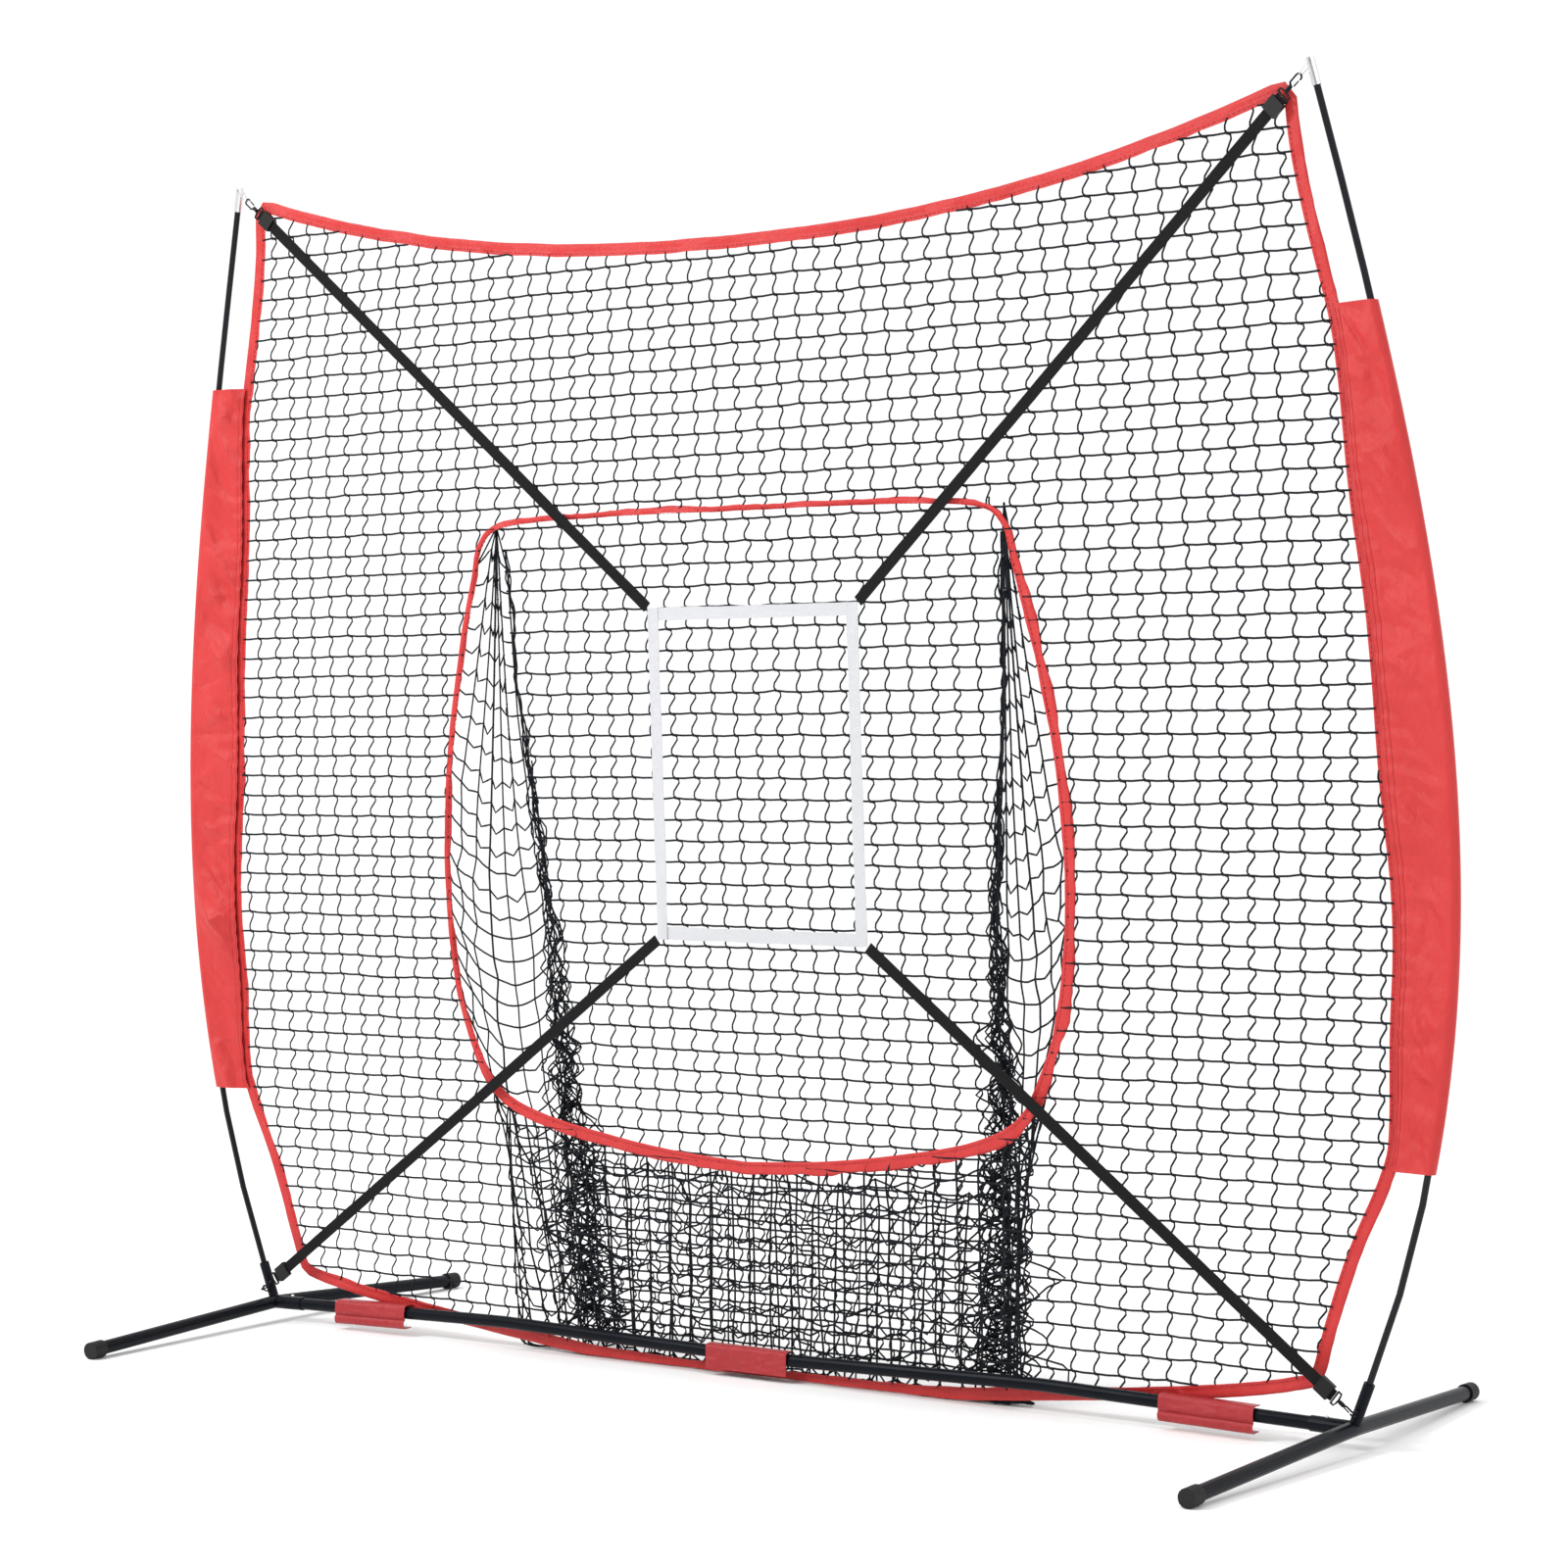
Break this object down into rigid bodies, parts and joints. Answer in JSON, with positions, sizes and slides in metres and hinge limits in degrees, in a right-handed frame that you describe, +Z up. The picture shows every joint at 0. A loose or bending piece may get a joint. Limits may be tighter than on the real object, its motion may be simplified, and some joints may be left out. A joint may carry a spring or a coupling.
{
  "type": "pitching target net",
  "caption": "Free-standing bow-frame sports net with a ball pocket and a strap-hung strike-zone frame, on two bent-tube feet joined by a crossbar.",
  "frame": {"origin": "centre of the base at floor level, midway between the feet, on the plane of the crossbar", "axes": "+Z up, the net faces -Y, +X to the right of a thrower facing the net's front"},
  "size_m": [2.6026, 1.0178, 2.1351],
  "materials": {
    "red_polyester": "satin woven polyester",
    "black_powder_coat": "satin powder coat",
    "black_rubber": "matte rubber",
    "black_fibreglass": "smooth pultruded rod",
    "plated_steel": "bright plated steel",
    "black_plastic": "moulded",
    "black_metal": "black enamel",
    "black_netting": "knotted twine",
    "black_webbing": "woven elastic webbing",
    "white_webbing": "woven tape"
  },
  "bodies": {
    "frame": {"button_spring_L": "plated_steel", "button_spring_R": "plated_steel", "crossbar_L": "black_powder_coat", "crossbar_R": "black_powder_coat", "crossbar_coupler": "black_powder_coat", "crossbar_stub_L": "black_powder_coat", "crossbar_stub_R": "black_powder_coat", "edge_binding": "red_polyester", "end_cap_L_front": "black_rubber", "end_cap_L_rear": "black_rubber", "end_cap_R_front": "black_rubber", "end_cap_R_rear": "black_rubber", "foot_tube_L": "black_powder_coat", "foot_tube_R": "black_powder_coat", "net_panel": "black_netting", "opening_binding": "red_polyester", "pocket_back": "black_netting", "pocket_base": "black_netting", "pocket_side_L": "black_netting", "pocket_side_R": "black_netting", "pole_ferrule_L": "plated_steel", "pole_ferrule_R": "plated_steel", "pole_lower_L": "black_fibreglass", "pole_lower_R": "black_fibreglass", "pole_socket_L": "black_powder_coat", "pole_socket_R": "black_powder_coat", "pole_tip_L": "plated_steel", "pole_tip_R": "plated_steel", "pole_upper_L": "black_fibreglass", "pole_upper_R": "black_fibreglass", "sleeve_L": "red_polyester", "sleeve_R": "red_polyester", "strap_BL": "black_webbing", "strap_BR": "black_webbing", "strap_TL": "black_webbing", "strap_TR": "black_webbing", "strike_zone": "white_webbing", "swivel_ring_BL": "black_metal", "swivel_ring_BR": "black_metal", "swivel_ring_TL": "black_metal", "swivel_ring_TR": "black_metal", "tip_bail_L": "plated_steel", "tip_bail_R": "plated_steel"},
    "button_L": {"spring_button_L": "plated_steel"},
    "button_R": {"spring_button_R": "plated_steel"},
    "hook_body_TL": {"hook_TL": "black_metal"},
    "gate_body_TL": {"gate_TL": "black_metal"},
    "slider_body_TL": {"slider_TL": "black_plastic"},
    "hook_body_TR": {"hook_TR": "black_metal"},
    "gate_body_TR": {"gate_TR": "black_metal"},
    "slider_body_TR": {"slider_TR": "black_plastic"},
    "hook_body_BL": {"hook_BL": "black_metal"},
    "gate_body_BL": {"gate_BL": "black_metal"},
    "slider_body_BL": {"slider_BL": "black_plastic"},
    "hook_body_BR": {"hook_BR": "black_metal"},
    "gate_body_BR": {"gate_BR": "black_metal"},
    "slider_body_BR": {"slider_BR": "black_plastic"},
    "flap_body_L": {"flap_L": "red_polyester"},
    "flap_body_C": {"flap_C": "red_polyester"},
    "flap_body_R": {"flap_R": "red_polyester"}
  },
  "joints": [
    {"name": "button_press_L", "type": "slide", "parent": "frame", "child": "button_L", "axis": [0, 0, -1], "range_m": [0, 0.003], "stiffness_N_per_m": 250, "deforming": ["button_spring_L"]},
    {"name": "button_press_R", "type": "slide", "parent": "frame", "child": "button_R", "axis": [0, 0, -1], "range_m": [0, 0.003], "stiffness_N_per_m": 250, "deforming": ["button_spring_R"]},
    {"name": "hook_swivel_TL", "type": "hinge", "parent": "frame", "child": "hook_body_TL", "pos_m": [-1.07715, -0.11505, 2.10624], "axis": [0.7483, 0.0554, -0.661], "range_deg": [-15, 15]},
    {"name": "gate_open_TL", "type": "hinge", "parent": "hook_body_TL", "child": "gate_body_TL", "pos_m": [-1.0615, -0.11409, 2.09802], "axis": [0.0415, -0.9985, -0.0367], "range_deg": [0, 24], "stiffness_Nm_per_rad": 0.01},
    {"name": "slider_travel_TL", "type": "slide", "parent": "frame", "child": "slider_body_TL", "axis": [0.7483, 0.0554, -0.661], "range_m": [0, 0.15]},
    {"name": "hook_swivel_TR", "type": "hinge", "parent": "frame", "child": "hook_body_TR", "pos_m": [1.07715, -0.11505, 2.10624], "axis": [-0.7343, 0.0567, -0.6764], "range_deg": [-15, 15]},
    {"name": "gate_open_TR", "type": "hinge", "parent": "hook_body_TR", "child": "gate_body_TR", "pos_m": [1.06737, -0.11407, 2.09151], "axis": [-0.0417, -0.9984, -0.0384], "range_deg": [0, 24], "stiffness_Nm_per_rad": 0.01},
    {"name": "slider_travel_TR", "type": "slide", "parent": "frame", "child": "slider_body_TR", "axis": [-0.7343, 0.0567, -0.6764], "range_m": [0, 0.15]},
    {"name": "hook_swivel_BL", "type": "hinge", "parent": "frame", "child": "hook_body_BL", "pos_m": [-1.12609, -0.02219, 0.06162], "axis": [0.8015, 0.0025, 0.598], "range_deg": [-15, 15]},
    {"name": "gate_open_BL", "type": "hinge", "parent": "hook_body_BL", "child": "gate_body_BL", "pos_m": [-1.11229, -0.02635, 0.07191], "axis": [0.598, 0, -0.8015], "range_deg": [0, 24], "stiffness_Nm_per_rad": 0.01},
    {"name": "slider_travel_BL", "type": "slide", "parent": "frame", "child": "slider_body_BL", "axis": [0.8015, 0.0025, 0.598], "range_m": [0, 0.15]},
    {"name": "hook_swivel_BR", "type": "hinge", "parent": "frame", "child": "hook_body_BR", "pos_m": [1.12609, -0.02219, 0.06162], "axis": [-0.7899, 0.0026, 0.6132], "range_deg": [-15, 15]},
    {"name": "gate_open_BR", "type": "hinge", "parent": "hook_body_BR", "child": "gate_body_BR", "pos_m": [1.11249, -0.02635, 0.07217], "axis": [0.6132, 0, 0.7899], "range_deg": [0, 24], "stiffness_Nm_per_rad": 0.01},
    {"name": "slider_travel_BR", "type": "slide", "parent": "frame", "child": "slider_body_BR", "axis": [-0.7899, 0.0026, 0.6132], "range_m": [0, 0.15]},
    {"name": "flap_open_L", "type": "hinge", "parent": "frame", "child": "flap_body_L", "pos_m": [-0.868, 0.0105, 0.05545], "axis": [-1, 0, 0], "range_deg": [0, 45]},
    {"name": "flap_open_C", "type": "hinge", "parent": "frame", "child": "flap_body_C", "pos_m": [-0.017, -0.0139, 0.012], "axis": [1, 0, 0], "range_deg": [0, 80]},
    {"name": "flap_open_R", "type": "hinge", "parent": "frame", "child": "flap_body_R", "pos_m": [0.868, 0.0105, 0.05545], "axis": [-1, 0, 0], "range_deg": [0, 45]}
  ]
}
